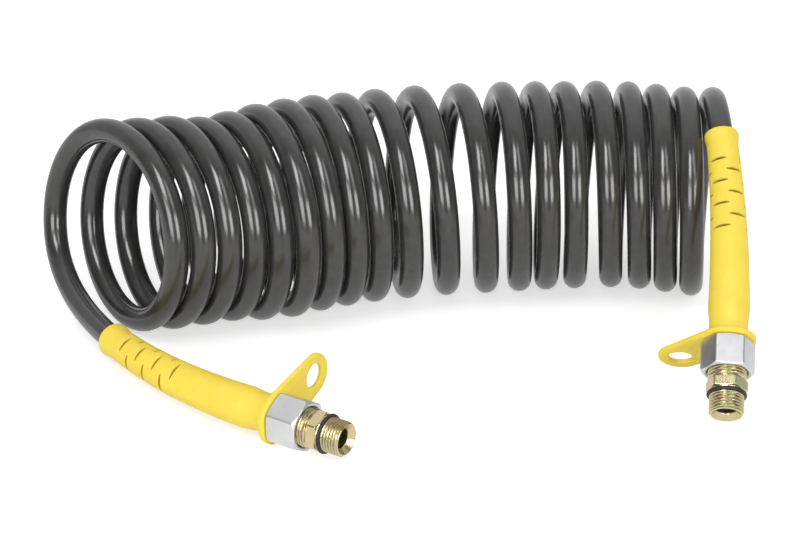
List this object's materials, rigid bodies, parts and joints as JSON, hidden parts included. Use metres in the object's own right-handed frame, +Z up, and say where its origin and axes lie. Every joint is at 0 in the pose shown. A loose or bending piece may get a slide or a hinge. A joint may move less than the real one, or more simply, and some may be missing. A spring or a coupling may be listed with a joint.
{
  "type": "coiled air hose",
  "caption": "Wound plastic air hose with a slotted kink guard, a union nut and a screw-in stud coupling at each end.",
  "frame": {"origin": "on the ground under the middle of the whole hose", "axes": "+X along the coil, from the left end to the right end; +Y away from the couplings; +Z up"},
  "size_m": [0.3519, 0.2531, 0.1086],
  "materials": {
    "hose": "glossy black polyamide tube",
    "guard": "pale bright yellow, soft satin plastic",
    "zinc": "bluish-silver zinc plating, turned and drawn",
    "chromate": "yellow chromate over zinc, iridescent gold with pink and green",
    "steel": "plain turned steel",
    "seal": "dark brown-black rubber"
  },
  "bodies": {
    "left_end": {"hose_coil": "hose", "left_hose_tail": "hose", "left_kink_guard": "guard", "left_clamping_ring": "steel", "left_support_sleeve": "steel", "left_screw_in_body": "chromate", "left_stud_seal": "seal"},
    "left_nut": {"left_union_nut": "zinc"},
    "right_end": {"right_hose_tail": "hose", "right_kink_guard": "guard", "right_clamping_ring": "steel", "right_support_sleeve": "steel", "right_screw_in_body": "chromate", "right_stud_seal": "seal"},
    "right_nut": {"right_union_nut": "zinc"}
  },
  "joints": [
    {"name": "coil_stretch", "type": "slide", "parent": "left_end", "child": "right_end", "axis": [1, 0, 0], "range_m": [0, 2.5], "stiffness_N_per_m": 20, "deforming": ["hose_coil"]},
    {"name": "left_nut_turn", "type": "hinge", "parent": "left_end", "child": "left_nut", "pos_m": [-0.03959, -0.10441, 0.0128], "axis": [0.8368, -0.5476, 0], "continuous": true},
    {"name": "right_nut_turn", "type": "hinge", "parent": "right_end", "child": "right_nut", "pos_m": [0.15927, -0.06372, 0.02384], "axis": [-0.1043, -0.792, -0.6016], "continuous": true}
  ]
}
